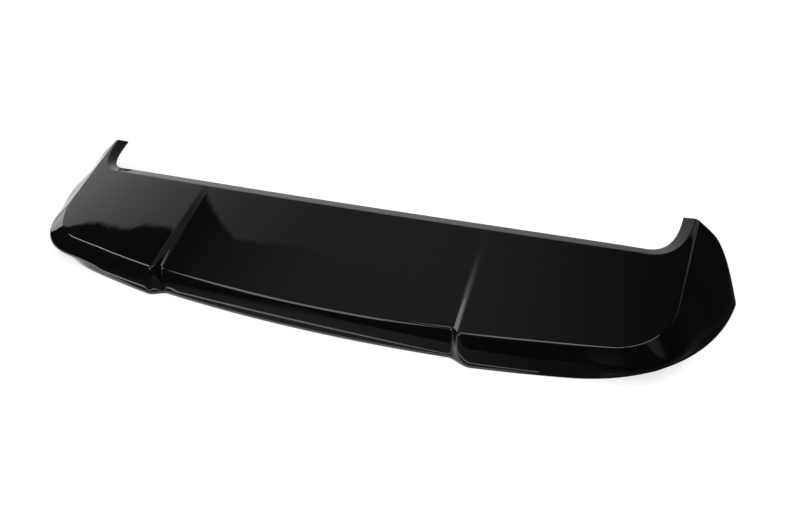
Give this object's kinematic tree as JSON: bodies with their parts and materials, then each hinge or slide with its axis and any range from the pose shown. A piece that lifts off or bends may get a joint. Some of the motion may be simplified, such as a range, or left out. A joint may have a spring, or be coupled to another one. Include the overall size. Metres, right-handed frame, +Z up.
{
  "type": "car roof spoiler cap",
  "caption": "Gloss black roof spoiler cap for a hatchback, one formed plastic sheet with a stepped top, turned-down rear band and forward horns",
  "frame": {"origin": "middle of the footprint, on the plane that the lip stands on", "axes": "X across the car, +Y to the front of the car, +Z up"},
  "size_m": [1.1998, 0.2907, 0.0821],
  "materials": {
    "gloss_black": "polished"
  },
  "bodies": {
    "root": {"spoiler_shell": "gloss_black"}
  },
  "joints": []
}
